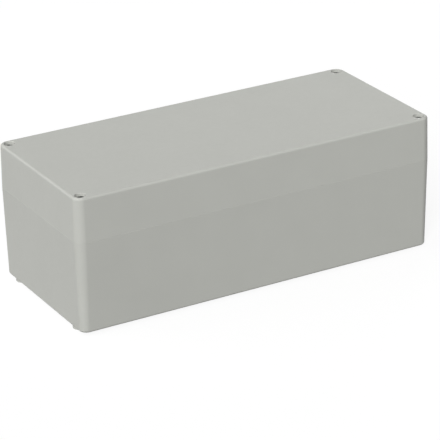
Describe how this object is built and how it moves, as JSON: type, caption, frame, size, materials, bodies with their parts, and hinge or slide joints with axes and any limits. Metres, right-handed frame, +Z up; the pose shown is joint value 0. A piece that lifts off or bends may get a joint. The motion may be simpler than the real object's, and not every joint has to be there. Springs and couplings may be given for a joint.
{
  "type": "plastic enclosure",
  "caption": "Deep rectangular grey plastic enclosure with a lift-off lid, cord seal, recessed corner screws, and mounting wells outside the sealed space.",
  "frame": {"origin": "middle of the footprint, level with the underside of the four feet", "axes": "+X along the long side, +Y across it to the back, +Z up through the lid"},
  "size_m": [0.32, 0.1396, 0.1143],
  "materials": {
    "base_plastic": "smooth satin moulding, light warm grey",
    "lid_plastic": "smooth satin moulding, light warm grey",
    "seal_rubber": "matt beige-grey cord",
    "insert_brass": "turned, knurled",
    "screw_steel": "dull burnished steel"
  },
  "bodies": {
    "base": {"base": "base_plastic", "threaded_inserts": "insert_brass"},
    "lid": {"lid": "lid_plastic", "lid_gasket": "seal_rubber"},
    "screw_front_left": {"lid_screw_front_left": "screw_steel"},
    "screw_front_right": {"lid_screw_front_right": "screw_steel"},
    "screw_back_left": {"lid_screw_back_left": "screw_steel"},
    "screw_back_right": {"lid_screw_back_right": "screw_steel"}
  },
  "joints": [
    {"name": "lid_lift", "type": "slide", "parent": "base", "child": "lid", "axis": [0, 0, 1], "range_m": [0, 0.12]},
    {"name": "screw_front_left_out", "type": "slide", "parent": "lid", "child": "screw_front_left", "axis": [0, 0, 1], "range_m": [0, 0.014]},
    {"name": "screw_front_right_out", "type": "slide", "parent": "lid", "child": "screw_front_right", "axis": [0, 0, 1], "range_m": [0, 0.014]},
    {"name": "screw_back_left_out", "type": "slide", "parent": "lid", "child": "screw_back_left", "axis": [0, 0, 1], "range_m": [0, 0.014]},
    {"name": "screw_back_right_out", "type": "slide", "parent": "lid", "child": "screw_back_right", "axis": [0, 0, 1], "range_m": [0, 0.014]}
  ]
}
